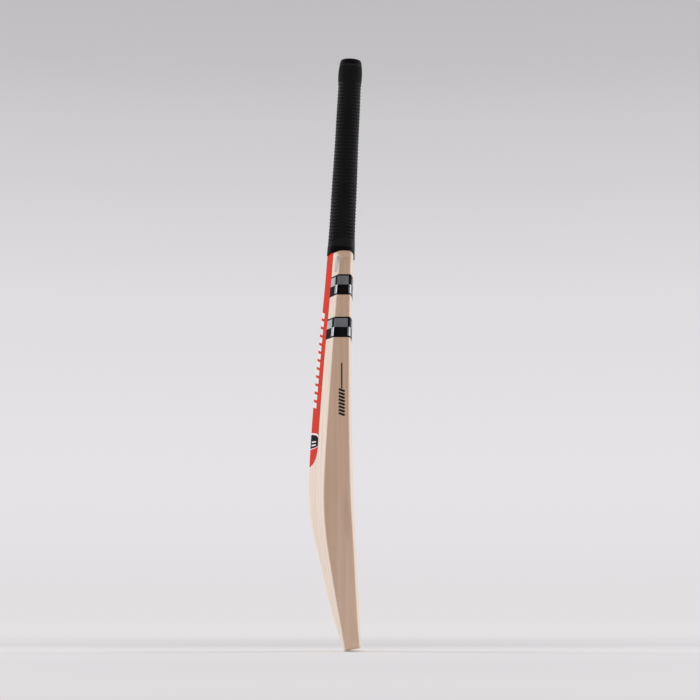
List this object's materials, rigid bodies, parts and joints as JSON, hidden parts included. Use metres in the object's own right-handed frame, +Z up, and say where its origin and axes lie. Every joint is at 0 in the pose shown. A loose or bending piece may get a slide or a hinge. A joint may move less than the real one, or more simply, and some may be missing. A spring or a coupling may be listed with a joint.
{
  "type": "cricket bat",
  "caption": "Short-handle cricket bat: willow blade with a ridged back, spliced laminated cane handle, twine binding, rubber grip and stickers.",
  "frame": {"origin": "middle of the flat toe face", "axes": "+Z up the bat from toe to handle, X across the width, -Y out of the hitting face, +Y out of the ridged back"},
  "size_m": [0.1084, 0.076, 0.852],
  "materials": {
    "willow": "sanded and oiled English willow, fine straight grain",
    "cane": "planed cane, fine pores",
    "spring_rubber": "dark rubber sheet",
    "twine": "waxed linen twine, glued",
    "grip_rubber": "ribbed and pimpled moulded rubber",
    "red_label": "printed vinyl sticker",
    "band_film": "printed black and silver vinyl sticker",
    "black_print": "thin printed vinyl",
    "grey_label": "small printed vinyl sticker"
  },
  "bodies": {
    "root": {"back_label": "red_label", "blade": "willow", "cane_back_centre": "cane", "cane_back_left": "cane", "cane_back_right": "cane", "cane_face_centre": "cane", "cane_face_left": "cane", "cane_face_right": "cane", "cane_inner_back_centre": "cane", "cane_inner_back_left": "cane", "cane_inner_back_right": "cane", "cane_inner_face_centre": "cane", "cane_inner_face_left": "cane", "cane_inner_face_right": "cane", "edge_band_lower": "band_film", "edge_band_upper": "band_film", "edge_mark_left": "black_print", "edge_mark_right": "black_print", "grade_label": "grey_label", "grip": "grip_rubber", "rubber_spring_back": "spring_rubber", "rubber_spring_face": "spring_rubber", "rubber_spring_middle": "spring_rubber", "twine_binding": "twine"}
  },
  "joints": []
}
